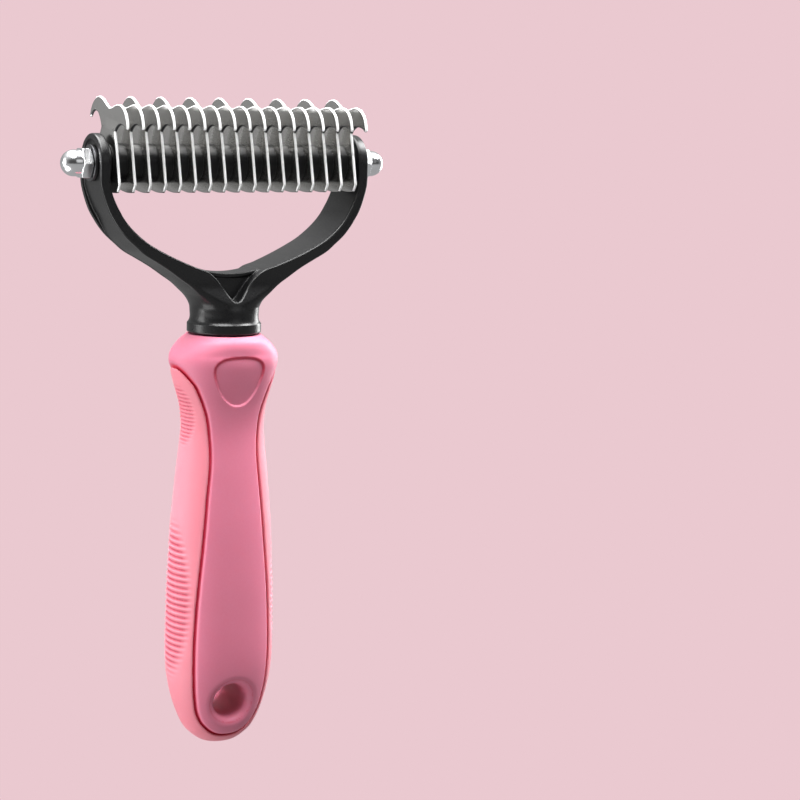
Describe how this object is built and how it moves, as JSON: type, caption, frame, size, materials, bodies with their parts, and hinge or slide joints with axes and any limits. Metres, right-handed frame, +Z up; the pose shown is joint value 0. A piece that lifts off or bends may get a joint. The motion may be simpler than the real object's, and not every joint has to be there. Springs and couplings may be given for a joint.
{
  "type": "undercoat rake",
  "caption": "Two-sided pet undercoat rake: a row of hooked steel blades on a shaft clamped in a black fork, on an oval pink handle with soft ribbed sides and a hanging hole.",
  "frame": {"origin": "level with the butt end, under the middle of the rake's width and depth; the handle's centre line is 1.25 mm behind it", "axes": "+Z up along the handle to the blades, +X along the blade shaft, -Y the front, where every blade has a hook"},
  "size_m": [0.0998, 0.028, 0.1872],
  "materials": {
    "pink_plastic": "moulded, semi-gloss",
    "soft_grip": "soft touch, matt",
    "black_plastic": "moulded, satin",
    "spacer_plastic": "smooth",
    "blade_steel": "satin ground stainless",
    "shaft_steel": "drawn bar",
    "washer_steel": "stamped",
    "nut_chrome": "polished"
  },
  "bodies": {
    "handle": {"handle_core": "pink_plastic", "grip_band": "soft_grip", "fork": "black_plastic"},
    "blade_head": {"blade_shaft": "shaft_steel", "blade_01": "blade_steel", "blade_02": "blade_steel", "blade_03": "blade_steel", "blade_04": "blade_steel", "blade_05": "blade_steel", "blade_06": "blade_steel", "blade_07": "blade_steel", "blade_08": "blade_steel", "blade_09": "blade_steel", "blade_10": "blade_steel", "blade_11": "blade_steel", "blade_12": "blade_steel", "blade_13": "blade_steel", "blade_14": "blade_steel", "blade_15": "blade_steel", "blade_16": "blade_steel", "blade_17": "blade_steel", "spacer_01": "spacer_plastic", "spacer_02": "spacer_plastic", "spacer_03": "spacer_plastic", "spacer_04": "spacer_plastic", "spacer_05": "spacer_plastic", "spacer_06": "spacer_plastic", "spacer_07": "spacer_plastic", "spacer_08": "spacer_plastic", "spacer_09": "spacer_plastic", "spacer_10": "spacer_plastic", "spacer_11": "spacer_plastic", "spacer_12": "spacer_plastic", "spacer_13": "spacer_plastic", "spacer_14": "spacer_plastic", "spacer_15": "spacer_plastic", "spacer_16": "spacer_plastic", "end_spacer_left": "spacer_plastic", "end_spacer_right": "spacer_plastic"},
    "left_washer": {"washer_left": "washer_steel"},
    "left_nut": {"cap_nut_left": "nut_chrome"},
    "right_washer": {"washer_right": "washer_steel"},
    "right_nut": {"cap_nut_right": "nut_chrome"}
  },
  "joints": [
    {"name": "head_tilt", "type": "hinge", "parent": "handle", "child": "blade_head", "pos_m": [0, 0.00125, 0.169], "axis": [1, 0, 0], "range_deg": [-27, 10]},
    {"name": "left_washer_slide", "type": "slide", "parent": "blade_head", "child": "left_washer", "axis": [-1, 0, 0], "range_m": [0, 0.004]},
    {"name": "left_nut_turn", "type": "hinge", "parent": "left_washer", "child": "left_nut", "pos_m": [-0.043, 0.00125, 0.169], "axis": [-1, 0, 0], "range_deg": [0, 1801]},
    {"name": "right_washer_slide", "type": "slide", "parent": "blade_head", "child": "right_washer", "axis": [1, 0, 0], "range_m": [0, 0.004]},
    {"name": "right_nut_turn", "type": "hinge", "parent": "right_washer", "child": "right_nut", "pos_m": [0.043, 0.00125, 0.169], "axis": [1, 0, 0], "range_deg": [0, 1801]}
  ],
  "couplings": [
    {"joint": "left_nut_turn", "follows": "left_washer_slide", "rad_per_m": 7854},
    {"joint": "right_nut_turn", "follows": "right_washer_slide", "rad_per_m": 7854}
  ]
}
